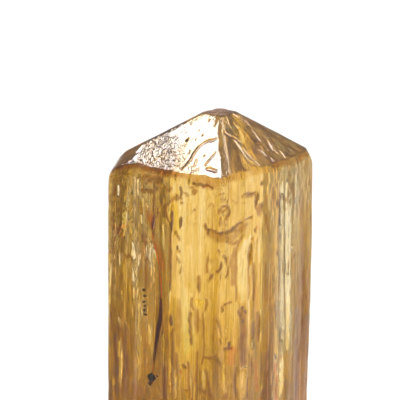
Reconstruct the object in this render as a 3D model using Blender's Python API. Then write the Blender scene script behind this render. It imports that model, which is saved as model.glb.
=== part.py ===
"""Imperial topaz crystal: one striated, single-terminated prism that stands on its cleaved base.

Metres, +Z up along the crystal's c axis, origin at the middle of the base. X runs along the b axis, the long
way across the prism, and Y along the a axis. The whole crystal is one solid.
"""

import math
import random

import bmesh
import bpy
from mathutils import Vector

MM = 0.001

# Topaz is orthorhombic. Its two horizontal cell edges fix the compass direction of every prism face.
CELL_A = 4.65
CELL_B = 8.80

# Driving dimensions
HEIGHT = 29.0 * MM      # base to the point where the four terminal faces would meet
POINT_X = 0.55 * MM     # the point stands a little to the right of the middle
LEFT_END = -6.25 * MM
RIGHT_END = 6.25 * MM

# Corners of the rhombic section from the front one, counter-clockwise: (along X, along Y) in millimetres
# from the point's axis. Its long sides are almost straight, and each of its two ends is blunt.
SECTION = (
    (-0.24, -5.45),
    (0.22, -5.45),
    (3.48, -2.30),
    (4.75, -1.12),
    (5.70, 0.22),
    (5.70, 0.62),
    (3.30, 2.85),
    (0.26, 5.45),
    (-0.26, 5.45),
    (-4.10, 2.45),
    (-6.80, 0.36),
    (-6.80, -0.30),
    (-4.35, -2.22),
)

STRIP_WIDTH = (0.30 * MM, 0.90 * MM)  # narrowest and widest growth striation
STRIATION_SEED = 11

POINT_WEAR = 0.50 * MM      # height dissolved off the point
RIDGE_WEAR = 0.08 * MM      # depth worn off each ridge between terminal faces
RIM_INSET = 0.30 * MM       # how far in from the prism the steep rim faces start
RIM_TILT = 66.0             # degrees from level
BASE_CHAMFER = 0.15 * MM    # bruised edge around the cleaved base

# Terminal faces: compass direction, counter-clockwise from +X, and tilt from level, both in degrees
TERMINAL_FACES = (
    (227.3, 37.8),
    (311.9, 38.0),
    (48.0, 38.8),
    (133.0, 37.5),
)
# Steep faces over the two blunt ends: compass direction, tilt, and how far below the point each one
# reaches the end face
END_FACES = (
    (180.0, 52.0, 4.45 * MM),
    (180.0, 74.0, 5.05 * MM),
    (0.0, 63.0, 3.75 * MM),
)
# Chips off the edge of the base: compass direction, tilt from level, and width of the chip across the base
BASE_CHIPS = (
    (205.0, 128.0, 0.55 * MM),
    (318.0, 140.0, 0.45 * MM),
    (72.0, 122.0, 0.50 * MM),
)

COLOUR = (0.86, 0.55, 0.20, 1.0)
ROUGHNESS = 0.08
REFRACTIVE_INDEX = 1.62
MERGE_DISTANCE = 0.002 * MM


def clear_scene():
    for old in list(bpy.data.objects):
        bpy.data.objects.remove(old, do_unlink=True)


def prism_azimuth(k):
    """Angle in radians between the a axis and the normal of prism face (1 k 0)."""
    return math.atan(k * CELL_A / CELL_B)


def compass(degrees):
    """Level unit vector, counter-clockwise from +X."""
    return Vector((math.cos(math.radians(degrees)), math.sin(math.radians(degrees)), 0.0))


def face_normal(azimuth, tilt):
    """Outward normal of a face that looks towards azimuth and tilts that many degrees from level."""
    outward = compass(azimuth) * math.sin(math.radians(tilt))
    return outward + Vector((0.0, 0.0, math.cos(math.radians(tilt))))


def section_corners():
    """The corners of the section, counter-clockwise, before striation."""
    return [Vector((x * MM + POINT_X, y * MM)) for x, y in SECTION]


def striate(start, end, dice):
    """Outline points from start up to end, where strips of two real prism faces take turns.

    The side's own direction lies between two prism faces (1 k 0). Each strip pair rises along one of them
    and returns along the other, so the ridge height follows from the pair's width.
    """
    side = end - start
    length = side.length
    along = side / length
    outward = Vector((along.y, -along.x))
    azimuth = math.atan2(abs(outward.x), abs(outward.y))
    directions = [0.0] + [prism_azimuth(k) for k in (1, 2, 3, 6)] + [math.pi / 2]
    flatter = max(a for a in directions if a <= azimuth)
    steeper = min(a for a in directions if a > azimuth)
    turns_to_end = (outward.x * outward.y) < 0
    rise = azimuth - flatter if turns_to_end else steeper - azimuth
    fall = steeper - azimuth if turns_to_end else azimuth - flatter

    points = []
    reached = 0.0
    while reached < length:
        width = dice.uniform(*STRIP_WIDTH)
        if length - reached - width < STRIP_WIDTH[0]:
            width = length - reached
        crest = width * math.tan(fall) / (math.tan(rise) + math.tan(fall))
        points.append(start + along * reached)
        points.append(start + along * (reached + crest) + outward * crest * math.tan(rise))
        reached += width
    return points


def striated_section():
    """The whole outline of the prism, counter-clockwise."""
    dice = random.Random(STRIATION_SEED)
    corners = section_corners()
    outline = []
    for start, end in zip(corners, corners[1:] + corners[:1]):
        if (end - start).length < 2 * STRIP_WIDTH[1]:
            outline.append(start)
        else:
            outline += striate(start, end, dice)
    return outline


def prism(outline):
    """Upright prism from the outline, a little taller than the crystal."""
    mesh = bmesh.new()
    base = mesh.faces.new([mesh.verts.new((p.x, p.y, 0.0)) for p in outline])
    swept = bmesh.ops.extrude_face_region(mesh, geom=[base])["geom"]
    top = [v for v in swept if isinstance(v, bmesh.types.BMVert)]
    bmesh.ops.translate(mesh, verts=top, vec=(0.0, 0.0, HEIGHT + 1.0 * MM))
    bmesh.ops.recalc_face_normals(mesh, faces=mesh.faces)
    return mesh


def cut_face(mesh, point, normal):
    """Cuts away what lies outside the plane and closes the solid with the new crystal face."""
    geometry = mesh.verts[:] + mesh.edges[:] + mesh.faces[:]
    cut = bmesh.ops.bisect_plane(
        mesh, geom=geometry, dist=MERGE_DISTANCE / 10, plane_co=point, plane_no=normal, clear_outer=True
    )["geom_cut"]
    edges = [e for e in cut if isinstance(e, bmesh.types.BMEdge) and len(e.link_faces) < 2]
    if edges:
        bmesh.ops.holes_fill(mesh, edges=edges, sides=0)


def reach(outline, azimuth):
    """Distance from the point's axis to the prism's side in that direction."""
    direction = compass(azimuth).to_2d()
    return max((p - Vector((POINT_X, 0.0))).dot(direction) for p in outline)


def cut_termination(mesh, outline):
    """Four low terminal faces, a steep narrow face under each, two end faces, and worn ridges."""
    point = Vector((POINT_X, 0.0, HEIGHT))
    normals = [face_normal(azimuth, tilt) for azimuth, tilt in TERMINAL_FACES]
    for normal in normals:
        cut_face(mesh, point, normal)
    for azimuth, tilt in TERMINAL_FACES:
        inset = reach(outline, azimuth) - RIM_INSET
        start = point + compass(azimuth) * inset
        start.z -= inset * math.tan(math.radians(tilt))
        cut_face(mesh, start, face_normal(azimuth, RIM_TILT))
    for azimuth, tilt, drop in END_FACES:
        start = Vector((RIGHT_END if azimuth == 0.0 else LEFT_END, 0.0, HEIGHT - drop))
        cut_face(mesh, start, face_normal(azimuth, tilt))
    for normal, following in zip(normals, normals[1:] + normals[:1]):
        between = (normal + following).normalized()
        cut_face(mesh, point - between * RIDGE_WEAR, between)
    cut_face(mesh, point - Vector((0.0, 0.0, POINT_WEAR)), Vector((0.0, 0.0, 1.0)))


def cut_base(mesh, outline):
    """Bruised edge and small chips around the flat cleavage plane."""
    for azimuth, tilt, width in BASE_CHIPS:
        start = Vector((POINT_X, 0.0, 0.0)) + compass(azimuth) * (reach(outline, azimuth) - width)
        cut_face(mesh, start, face_normal(azimuth, tilt))
    for azimuth, _ in TERMINAL_FACES:
        start = Vector((POINT_X, 0.0, 0.0)) + compass(azimuth) * (reach(outline, azimuth) - BASE_CHAMFER)
        cut_face(mesh, start, face_normal(azimuth, 135.0))


def topaz_material():
    material = bpy.data.materials.new("golden_topaz")
    material.use_nodes = True
    shader = material.node_tree.nodes["Principled BSDF"]
    shader.inputs["Base Color"].default_value = COLOUR
    shader.inputs["Roughness"].default_value = ROUGHNESS
    shader.inputs["Metallic"].default_value = 0.0
    shader.inputs["IOR"].default_value = REFRACTIVE_INDEX
    shader.inputs["Transmission Weight"].default_value = 1.0
    return material


def make_crystal():
    outline = striated_section()
    mesh = prism(outline)
    cut_termination(mesh, outline)
    cut_base(mesh, outline)
    bmesh.ops.remove_doubles(mesh, verts=mesh.verts, dist=MERGE_DISTANCE)
    bmesh.ops.dissolve_degenerate(mesh, edges=mesh.edges, dist=MERGE_DISTANCE)
    bmesh.ops.triangulate(mesh, faces=[f for f in mesh.faces if len(f.verts) > 4])
    bmesh.ops.recalc_face_normals(mesh, faces=mesh.faces)
    data = bpy.data.meshes.new("crystal")
    mesh.to_mesh(data)
    mesh.free()
    crystal = bpy.data.objects.new("crystal", data)
    crystal.data.materials.append(topaz_material())
    bpy.context.scene.collection.objects.link(crystal)
    return crystal


clear_scene()
make_crystal()
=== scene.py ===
"""An imperial topaz crystal, standing on its cleaved base under soft studio light."""

import math

import bpy
import numpy as np
from mathutils import Matrix, Vector
from mathutils.bvhtree import BVHTree


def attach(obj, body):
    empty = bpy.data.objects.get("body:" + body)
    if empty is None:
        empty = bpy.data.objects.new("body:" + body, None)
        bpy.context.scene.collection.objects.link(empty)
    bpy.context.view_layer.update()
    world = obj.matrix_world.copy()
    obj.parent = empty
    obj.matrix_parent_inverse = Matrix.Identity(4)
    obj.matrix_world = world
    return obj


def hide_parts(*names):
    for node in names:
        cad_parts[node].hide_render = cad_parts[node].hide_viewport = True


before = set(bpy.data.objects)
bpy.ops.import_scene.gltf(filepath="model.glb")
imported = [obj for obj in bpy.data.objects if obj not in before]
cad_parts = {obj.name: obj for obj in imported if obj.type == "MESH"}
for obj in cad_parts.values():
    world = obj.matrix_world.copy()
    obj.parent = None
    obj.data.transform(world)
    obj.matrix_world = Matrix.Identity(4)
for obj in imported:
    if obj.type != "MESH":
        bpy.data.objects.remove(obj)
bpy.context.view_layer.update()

# ------------------------------------------------------------
# The crystal. One grown body of golden topaz: four striated sides, a worn rim, and a low point of four
# etched faces; the base is where it was cleaved from the rock. The solid gives its planes and its section.
# Growth steps, etching and wear are raised on a fine grid laid around them, in millimetres.

MM = 0.001
AXIS = np.array([0.55, 0.0])
COLUMN_STEP = 0.066
STRIP_RELIEF = 0.3
STRIP_SPREAD = 0.25
RIM_TUCK = 0.22
RIM_ROLL = 0.60
RIDGE_WEAR = 0.02
SIDE_RIDGE_WEAR = 0.07
RIDGE_DEPTH = 0.14
BACK_RAISE = 0.13
GAP_WIDTH = 0.018
SEEDED_CRACKS, HIGH_CRACKS = 40, 34

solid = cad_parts["crystal"]
solid_points = np.array([v.co[:] for v in solid.data.vertices]) / MM


def held(value):
    """A value held between 0 and 1."""
    return np.clip(value, 0, 1)


def bell(value):
    """1 at zero, falling off softly to both sides."""
    return np.exp(-(value**2))


def walls(rows, columns, first=0):
    """Faces between closed rings of points."""
    for row in range(rows - 1):
        low = first + row * columns
        for k in range(columns):
            a, b = low + k, low + (k + 1) % columns
            yield a, b, b + columns, a + columns


def section_of(mesh):
    """Corners of the prism's section, counter-clockwise, from the solid's upright edges."""
    found = []
    for edge in mesh.edges:
        low, high = (solid_points[i] for i in edge.vertices)
        if np.hypot(*(low - high)[:2]) < 1e-3 and abs(low[2] - high[2]) > 8.0:
            found.append(low[:2])
    found = np.unique(np.round(found, 4), axis=0)
    turn = np.arctan2(found[:, 1] - AXIS[1], found[:, 0] - AXIS[0])
    return found[np.argsort(turn)]


def planes_of(mesh, lowest, highest):
    """Planes of the solid whose normal's height lies between two values, as normal and distance."""
    found = []
    for face in mesh.polygons:
        normal = np.array(face.normal[:])
        if lowest < normal[2] < highest:
            found.append((*normal, normal @ np.array(face.center[:]) / MM))
    return np.unique(np.round(found, 3), axis=0)


roof_planes = planes_of(solid.data, 0.15, 1.1)
# the two faces behind stand a little higher, so the ridges over the sides lie behind the middle
faces_back = 1 + np.sign(np.round(roof_planes[:, 1], 1))
roof_planes[:, 3] += roof_planes[:, 2] * BACK_RAISE * faces_back * (roof_planes[:, 2] < 0.99)
# low on the left a small corner face is worn in front of the end
roof_planes = np.vstack([roof_planes, (-0.510, -0.360, 0.781, 22.80)])
sideways = np.abs(roof_planes[:, 0])
front_pair = (sideways > 0.40) & (sideways < 0.43) & (roof_planes[:, 1] < -0.4)
chip_planes = planes_of(solid.data, -0.98, -0.1)


def worn_low(heights, wear):
    """The lowest of several heights, rounded where they cross."""
    low = heights.min(0)
    return low - wear * np.log(np.exp(-(heights - low) / wear).sum(0))


def roof_height(x, y):
    """Height of the worn roof. The front ridge leans to the right and is worn to a narrow strip."""
    lean = np.interp(-y, (0, 5.5), (-0.14, 0.26)) * bell((x - AXIS[0]) / 1.8) * (y < 0.6)
    halves = []
    for facing in (-1, 1):
        chosen = roof_planes[:, 1] * facing > -0.05
        moved = x - lean * (facing < 0)
        heights = [(d - nx * moved - ny * y) / nz for nx, ny, nz, d in roof_planes[chosen]]
        if facing < 0:
            paired = [h for h, in_pair in zip(heights, front_pair[chosen]) if in_pair]
            heights.append(np.mean(paired, axis=0) - RIDGE_DEPTH)
        halves.append(worn_low(np.stack(heights), RIDGE_WEAR))
    return worn_low(np.stack(halves), SIDE_RIDGE_WEAR)


def columns_around(section):
    """Closely spaced points around the section, with most of the strips' relief averaged away."""
    points = []
    for start, end in zip(section, np.roll(section, -1, axis=0)):
        steps = max(1, round(np.hypot(*(end - start)) / COLUMN_STEP))
        for k in range(steps):
            points.append(start + (end - start) * k / steps)
    points = np.array(points)
    weights = np.exp(-0.5 * (np.arange(-50, 51) * COLUMN_STEP / STRIP_SPREAD) ** 2)
    weights /= weights.sum()
    wrapped = np.concatenate([points[-50:], points, points[:50]])
    mean = np.stack([np.convolve(wrapped[:, k], weights, "valid") for k in (0, 1)], axis=1)
    softened = mean + (points - mean) * STRIP_RELIEF
    return softened[(points[:, 1] < 0.5) | (np.arange(len(points)) % 2 == 0)]


ring = columns_around(section_of(solid.data))
inward = AXIS - ring
inward /= np.hypot(inward[:, 0], inward[:, 1])[:, None]
worn_corner = bell((ring[:, 0] + 4.9) / 1.1) * (ring[:, 1] < 0.4)
rim_tuck = RIM_TUCK + 0.33 * worn_corner
rim_roll = RIM_ROLL + 0.45 * worn_corner
tucked = ring + inward * rim_tuck[:, None]
top = roof_height(tucked[:, 0], tucked[:, 1])

side_rows = np.concatenate([
    np.linspace(0.0, 0.42, 34, endpoint=False),
    np.linspace(0.42, 0.975, 108, endpoint=False),
    np.linspace(0.975, 1.0, 9),
])
cap_rows = (1.0 - np.linspace(0.0, 1.0, 74) ** 0.95)[1:-1]

side_height = side_rows[:, None] * top
tuck = rim_tuck * held((side_height - top + rim_roll) / rim_roll) ** 2
side = np.stack([ring[:, 0] + inward[:, 0] * tuck, ring[:, 1] + inward[:, 1] * tuck, side_height], axis=2)
for nx, ny, nz, d in chip_planes:
    outside = np.maximum(side @ np.array([nx, ny, nz]) - d, 0)
    facing = np.maximum(-(nx * inward[:, 0] + ny * inward[:, 1]), 0.3)
    side[..., 0] += inward[:, 0] * outside / facing
    side[..., 1] += inward[:, 1] * outside / facing
cap = np.empty((len(cap_rows), len(ring), 3))
cap[..., :2] = AXIS + (tucked - AXIS) * cap_rows[:, None, None]
cap[..., 2] = roof_height(cap[..., 0], cap[..., 1])
skin = np.concatenate([side, cap])

around = np.roll(skin, -1, axis=1) - np.roll(skin, 1, axis=1)
outward = np.cross(around, np.gradient(skin, axis=0))
outward /= np.linalg.norm(outward, axis=2)[..., None] + 1e-12

arc = np.concatenate([[0.0], np.cumsum(np.hypot(*np.diff(ring, axis=0).T))])
girth = arc[-1] + np.hypot(*(ring[0] - ring[-1]))
order = [k for k in np.argsort(ring[:, 0]) if ring[k, 1] < 0]
front_x, front_y, front_arc = ring[order, 0], ring[order, 1], arc[order]
U = np.broadcast_to(arc, skin.shape[:2])
X, Y, Z = skin[..., 0], skin[..., 1], skin[..., 2]
on_side = np.zeros(skin.shape[:2], bool)
on_side[: len(side_rows)] = True
climb = np.cumsum(np.linalg.norm(np.diff(skin, axis=0), axis=2), axis=0)
climb = np.concatenate([np.zeros((1, len(ring))), climb])
past_rim = climb - climb[len(side_rows) - 1]


def mottle(seed, a, b, size_a, size_b, wrap=0.0):
    """Soft random patches from 0 to 1 over two lengths, repeating every wrap along the first."""
    wide = max(2, round(wrap / size_a)) if wrap else 97
    table = np.random.default_rng(seed).random((wide, 97))
    u = a / (wrap / wide if wrap else size_a)
    v = b / size_b
    i, j = np.floor(u).astype(int), np.floor(v).astype(int)
    u, v = u - i, v - j
    u, v = u * u * (3 - 2 * u), v * v * (3 - 2 * v)
    low = table[i % wide, j % 97] * (1 - u) + table[(i + 1) % wide, j % 97] * u
    high = table[i % wide, (j + 1) % 97] * (1 - u) + table[(i + 1) % wide, (j + 1) % 97] * u
    return low * (1 - v) + high * v


def clouds(seed, wide, tall):
    """Soft random patches all over the skin, of one width and height."""
    return mottle(seed, U, climb, wide, tall, girth)


def grains(seed, a, b, size_a, size_b):
    """Distance to the nearest of scattered grain centres, in grain sizes, and that grain's random name."""
    dice = np.random.default_rng(seed)
    shift, name = dice.random((2, 97, 97)) * 0.8 + 0.1, dice.random((97, 97))
    u, v = a / size_a, b / size_b
    i, j = np.floor(u).astype(int), np.floor(v).astype(int)
    best, chosen = np.full(u.shape, 9.0), np.zeros(u.shape)
    for di in (-1, 0, 1):
        for dj in (-1, 0, 1):
            at = (i + di) % 97, (j + dj) % 97
            gap = np.hypot(i + di + shift[0][at] - u, j + dj + shift[1][at] - v)
            chosen = np.where(gap < best, name[at], chosen)
            best = np.minimum(gap, best)
    return best, chosen


def needles(seed, count, widths, lengths):
    """Long, narrow, pointed shapes along the prism: each one's profile times its width, summed."""
    dice = np.random.default_rng(seed)
    raised = np.zeros(side_height.shape)
    for _ in range(count):
        centre, middle = dice.uniform(0, girth), dice.uniform(-1, 27)
        width = widths[0] * (widths[1] / widths[0]) ** dice.random()
        length = lengths[0] * (lengths[1] / lengths[0]) ** dice.random()
        crest, rise = dice.uniform(0.2, 0.8), width * dice.uniform(0.4, 1.0)
        away = (arc - centre + girth / 2) % girth - girth / 2
        near = np.flatnonzero(np.abs(away) < width)
        taper = np.sqrt(np.clip(1 - (np.abs(side_height[:, near] - middle) * 2 / length) ** 3, 1e-6, 1))
        across = away[near] / width / taper + 0.5
        tent = np.minimum(across / crest, (1 - across) / (1 - crest))
        raised[:, near] += rise * taper * held(tent)
    return raised


# Marks are placed as they are seen from in front, in a view 400 units wide and high, and each place is
# carried along its line of sight onto the solid. Their edges waver a little.
VIEW_MIDDLE = 200
VIEW_AIM = (0.55, 0.0, 24.0)
VIEW_ASIDE, VIEW_DOWN = 1.207, 1.0
VIEW_SIGHT = 145.0
LENS, FILM = 214.0, 36.0
SIGHT_STEPS = LENS / FILM * 2 * VIEW_MIDDLE
# millimetres to one unit of a mark's width, and of a pit's reach
MARK_UNIT = 0.06
PIT_UNIT = 0.065

azimuth, elevation, roll_angle = math.radians(-2.5), math.radians(16.0), math.radians(0.705)
back = Vector((
    math.sin(azimuth) * math.cos(elevation), -math.cos(azimuth) * math.cos(elevation), math.sin(elevation)
))
right = Vector((math.cos(azimuth), math.sin(azimuth), 0.0))
up = back.cross(right)
right, up = (
    right * math.cos(roll_angle) + up * math.sin(roll_angle),
    up * math.cos(roll_angle) - right * math.sin(roll_angle),
)
aim = Vector(VIEW_AIM) * MM - right * VIEW_ASIDE * MM - up * VIEW_DOWN * MM
eye = aim / MM + back * VIEW_SIGHT
solid_faces = [tuple(face.vertices) for face in solid.data.polygons]
solid_tree = BVHTree.FromPolygons(solid_points.tolist(), solid_faces)


def seen_at(across, down):
    """The place on the solid seen at a place in the view, or at its edge if that lies just beside it."""
    for aside in (0, 1, -1, 2, -2, 3, -3):
        sight = right * ((across + aside - VIEW_MIDDLE) / SIGHT_STEPS) - back
        found = solid_tree.ray_cast(eye, sight - up * ((down - VIEW_MIDDLE) / SIGHT_STEPS))[0]
        if found:
            return [round(value, 2) for value in found]


on_front = on_side & (Y < 0.35)
on_roof = ~on_side
waver = np.stack([
    (mottle(11, X, Z, 0.22, 0.30) + mottle(12, X, Z, 0.55, 0.8) - 1.0) * 0.10,
    (mottle(13, X, Z, 0.22, 0.30) + mottle(14, X, Z, 0.55, 0.8) - 1.0) * 0.16,
])
fading = 0.75 + 0.45 * mottle(15, X, Z, 0.18, 0.35)
# each plane that marks are drawn in: its two axes, the skin's places in it, and where it holds
SIDES = (0, 2), np.stack([X + waver[0] * 0.6, Z + waver[1]]), on_front
ROOF = (0, 1), np.stack([X + waver[0] * 0.5, Y + waver[1] * 0.5]), on_roof


def distance_to(path, place):
    """Distance in a plane from every skin point to a line of points, and how far along it."""
    path = np.array(path, float)
    best, along, passed = np.full(X.shape, 99.0), np.zeros(X.shape), 0.0
    for start, end in zip(path, path[1:]):
        run = end - start
        length = np.hypot(*run)
        t = held(((place[0] - start[0]) * run[0] + (place[1] - start[1]) * run[1]) / length**2)
        gap = np.hypot(place[0] - start[0] - t * run[0], place[1] - start[1] - t * run[1])
        along = np.where(gap < best, passed + t * length, along)
        best = np.minimum(best, gap)
        passed += length
    return best, along / passed


def mark(width, stretch, path, plane):
    """How strongly each skin point lies on a mark, from 0 to 1; its ends taper."""
    axes, place, where = plane
    gap, along = distance_to([[seen_at(*spot)[axis] for axis in axes] for spot in path], place)
    slender = 0.45 + 0.55 * np.sqrt(np.sin(np.pi * np.clip(along, 0.03, 0.97)))
    half = round(width * MARK_UNIT, 2) * stretch / 2 * slender + 0.02
    inside = held(1.35 - gap / half)
    return inside * inside * (3 - 2 * inside) * where


def overlay(layer, *covers):
    """Adds covers to one layer of the skin, keeping the strongest at each place."""
    for cover in covers:
        np.maximum(layer, cover, out=layer)


def draw(layer, marks, plane):
    """Overlays a layer with marks."""
    for width, strength, *path in marks:
        overlay(layer, mark(width, 1.1, path, plane) * min(1.0, strength * 1.35) * fading)


# each mark: its width and strength, and the places that it runs through
BROWN_MARKS = (
    (2.6, 1, (112.5, 218.3), (113.6, 220)), (2.2, 1, (121, 223), (119, 228), (117, 233)),
    (1.2, 0.5, (108, 196), (115, 196)), (1.2, 0.5, (108, 202), (114, 202)),
    (2.4, 1, (156.5, 210), (157, 215)), (2.4, 0.95, (156, 217), (152.5, 223), (151.3, 229)),
    (1.8, 0.9, (160.3, 204), (160.6, 206)), (3.2, 0.9, (172, 213), (171, 224), (171, 231)),
    (2.2, 0.6, (170.5, 231), (170, 252), (170, 290)), (2.6, 0.85, (182, 218.5), (181, 227)),
    (2, 0.7, (176.7, 232), (178, 235), (180, 239.5)),
    (2, 0.75, (178, 246.5), (179, 250), (181, 252)), (1.8, 0.6, (178, 259), (180.5, 262)),
    (1.6, 0.5, (182.5, 266), (181, 273)), (1.8, 0.6, (193.5, 210), (195, 208.5)),
    (1.8, 0.8, (195.5, 219), (197, 219)), (2, 0.6, (108, 252), (113, 252)),
    (2.2, 0.6, (125.5, 255.7), (132, 256.3)), (4.5, 0.5, (140, 190.5), (148, 191), (157, 190)),
    (7, 0.4, (141, 177), (150, 178), (160, 180)), (3, 0.55, (146, 183), (152, 181), (158, 184)),
    (2.6, 0.6, (164, 186), (168, 190), (172, 188)), (2.4, 0.6, (181.5, 186), (183, 192), (181, 197)),
    (2.2, 0.5, (176, 199), (182, 198.5)), (2.2, 0.7, (181, 204.5), (183, 203.5)),
    (2.6, 0.5, (166, 206), (173, 199), (178, 196)), (3, 0.55, (192, 187), (196, 189), (193, 193)),
    (2.4, 0.5, (187, 197), (189, 195), (186, 193)), (5, 0.45, (143, 233), (143.5, 240), (146, 244)),
    (1.8, 0.9, (145.5, 258.5), (148, 256)), (6, 0.35, (146, 266), (147, 280), (146, 288)),
    (3, 0.4, (165, 205), (165, 214), (168, 222)), (16, 0.28, (114, 330), (124, 334), (124, 350)),
    (2, 0.45, (124, 336), (124, 365), (123, 392)), (3, 0.35, (145.5, 342), (146, 348)),
    (3, 0.5, (164, 365), (165, 398)), (6, 0.3, (161, 366), (162, 398)),
    (26, 0.3, (112, 388), (140, 392)), (2, 0.75, (171, 317), (171, 325)),
    (3, 0.4, (172.5, 330), (173, 360), (171, 396)), (3.4, 0.8, (184.5, 363.5), (186.5, 366.5)),
    (3, 0.7, (186, 389.5), (188, 388.5)), (1.6, 0.6, (191.5, 312), (191.5, 345)),
    (1.6, 0.5, (203, 312), (203.5, 345), (202, 364)), (4, 0.45, (199, 276), (199, 292)),
    (1.8, 0.6, (198, 278), (198.5, 291)), (6, 0.35, (197, 311), (197.5, 332)),
    (1.6, 0.5, (197, 312), (197.5, 330)), (5, 0.3, (180, 300), (178, 330), (179, 345)),
    # the two short brown marks at 193 and 206 across, 298 to 310 down, are painted shade that sets off the
    # painted glint between them
    (3, 0.4, (176, 352), (177, 375)), (2, 0.5, (193, 298), (192, 304), (194, 310)),
    (2, 0.5, (206, 298), (207, 304), (205, 310)), (2, 0.5, (189, 362), (189.5, 398)),
    (2, 0.5, (197, 350), (196, 398)), (4, 0.6, (115, 335), (116, 365), (115.5, 392)),
    (4.5, 0.5, (126, 325), (126, 360), (125.5, 395)),
    (3.2, 0.75, (205, 224), (206, 229), (211, 233), (218, 235), (226, 233.5), (233, 230), (238, 225.5),
        (244, 221), (252, 217.5)),
    (3, 0.6, (204, 227), (208, 231), (207, 235)),
    (9, 0.36, (208, 234), (214, 237), (222, 239), (231, 238), (239, 232), (246, 226)),
    (3, 0.5, (225, 240), (234, 243), (240, 240), (243, 236)),
    (2.4, 0.6, (233, 227), (236, 230), (240, 229)),
    (2.6, 0.85, (218.5, 213.5), (219.5, 210), (223, 208.6), (228, 209.2), (230.5, 212), (229, 216.3),
        (226, 217.5)),
    (2.2, 0.7, (221, 212), (223.5, 213.5), (226, 212)),
    (2, 0.5, (221, 217), (220, 222), (219.5, 226)), (2, 0.5, (225, 218), (224, 223), (226, 226)),
    (1.6, 0.4, (208, 206), (211, 203), (214, 205)), (2, 0.5, (210.5, 204.5), (213, 206)),
    (1.8, 0.55, (222, 201), (226, 200.7), (229, 202)), (1.6, 0.4, (216, 196), (220, 194), (224, 196)),
    (1.6, 0.35, (232, 200), (238, 203), (245, 202)),
    (4.4, 0.7, (194, 182.5), (200, 184.5), (207, 186), (211, 187)),
    (7, 0.3, (194, 181), (206, 183), (216, 186)), (4.5, 0.75, (247, 193), (251, 195), (255, 192)),
    (3, 0.6, (255, 192), (258, 197), (256, 200)), (2.2, 0.5, (245, 193), (243, 196)),
    (5, 0.5, (261, 204), (260.5, 216)), (2, 0.6, (257, 201), (256.5, 208), (259, 216)),
    (2.6, 0.8, (262.5, 181), (262.5, 184)), (2, 0.7, (276, 184), (276.3, 187)),
    (2, 0.6, (276.3, 203), (276.5, 206)), (3, 0.3, (272, 188), (272, 202), (270, 212)),
    (6, 0.2, (268, 214), (269, 232)), (2, 0.6, (266, 215), (267, 231)),
    (2.4, 0.9, (281, 197), (285, 199.5), (289, 202)), (2, 0.7, (255, 229), (256, 231)),
    (2, 0.6, (252.5, 239), (253, 241)), (2, 0.5, (276, 251), (277, 253)),
    (3, 0.9, (294, 255.5), (294, 258.5)), (2.2, 0.7, (217.5, 251), (219, 253)),
    (2.4, 0.7, (223.5, 256), (226, 259), (227, 264)), (2.4, 0.75, (221, 264), (220, 270), (216.5, 273.5)),
    (2.2, 0.55, (228, 268), (227.5, 274), (225.5, 279)),
    (2.2, 0.5, (207.5, 257), (206.5, 264), (207, 272)), (2, 0.55, (208, 281), (210, 277.5), (212, 276)),
    (2, 0.5, (231, 262), (230, 268)), (5, 0.35, (235, 247), (233, 262), (233, 285)),
    (2.2, 0.5, (241.5, 237.5), (237.5, 245), (236.5, 258), (236, 300)),
    (3, 0.55, (250.5, 246), (249.5, 262)), (2.4, 0.4, (249, 264), (249, 300)),
    (2.2, 0.45, (253.5, 262), (253.5, 300)), (6, 0.24, (268, 235), (268, 262), (268, 300)),
    (2, 0.4, (265, 262), (265, 300)), (8, 0.20, (269, 300), (269, 345), (270, 385)),
    (6, 0.35, (297, 340), (297, 398)), (5, 0.4, (266, 350), (266, 398)),
    (3, 0.35, (291.5, 183), (292.5, 196)), (5, 0.3, (302, 190), (303, 260), (302, 330)),
    (2.6, 0.95, (224.5, 305.5), (226.5, 305.5)), (1.8, 0.6, (226, 303), (231, 303)),
    (1.8, 0.5, (222, 307), (222, 312)), (1.8, 0.4, (216, 318), (219, 328), (222, 336)),
    (1.8, 0.5, (219, 338), (220, 344)), (9, 0.40, (243, 325), (243, 345), (243, 366)),
    (8, 0.33, (241, 308), (243, 318), (243, 328)), (1.8, 0.8, (241, 306), (243, 308)),
    (1.8, 0.8, (238, 312), (240, 316)), (1.8, 0.8, (244, 310), (246, 313)),
    (1.8, 0.8, (242, 320), (243, 323)), (3.6, 0.95, (226, 349), (229, 348.5), (231, 349.3)),
    (2.4, 0.8, (229, 343), (230, 346)), (1.8, 0.55, (203, 358.5), (210, 357), (218, 355)),
    (1.8, 0.4, (211, 356), (216, 360), (219, 365)), (2, 0.5, (236, 368), (235, 380), (236, 398)),
    (2, 0.5, (247.5, 378), (248, 398)), (4, 0.5, (254, 322), (254, 336)),
    (3, 0.45, (258.5, 312), (258.5, 340)), (2, 0.45, (252, 360), (252, 376)),
    (4, 0.5, (263, 388), (262, 399)), (3, 0.6, (225.5, 395), (227, 398)),
    (3, 0.5, (206, 372), (208, 385), (211, 399)), (6, 0.4, (200, 390), (212, 396)),
)
RUST_MARKS = (
    (1.8, 0.7, (110, 224), (114, 227), (119, 228)), (1.8, 0.8, (119, 228), (127, 225)),
    (6, 0.45, (118, 231), (123, 234)), (9, 0.6, (148, 213), (151, 219), (152, 228)),
    (1.6, 0.7, (147, 240), (144.5, 246), (143.3, 257)), (3, 0.35, (143, 262), (149, 262)),
    (5, 0.55, (152.5, 233), (156.5, 245), (160, 258), (162, 270)),
    (3, 0.8, (182, 369.5), (180.5, 372.5)), (4, 0.6, (203, 186), (210, 187)),
    (2.2, 0.9, (257, 226.5), (258, 228.5)), (3, 0.8, (231, 349.5), (237, 350)),
    (8, 0.45, (231, 353), (232, 363)), (2, 0.25, (256, 285), (256, 312)),
    (3, 0.5, (256, 362), (257, 392)), (3.4, 0.85, (277, 358.5), (281.5, 357)),
    (2.6, 0.7, (275.5, 362), (273.5, 374)), (2.2, 0.9, (276.3, 374), (276, 399)),
    (2.2, 0.9, (274.5, 393), (274.5, 399)),
)
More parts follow.
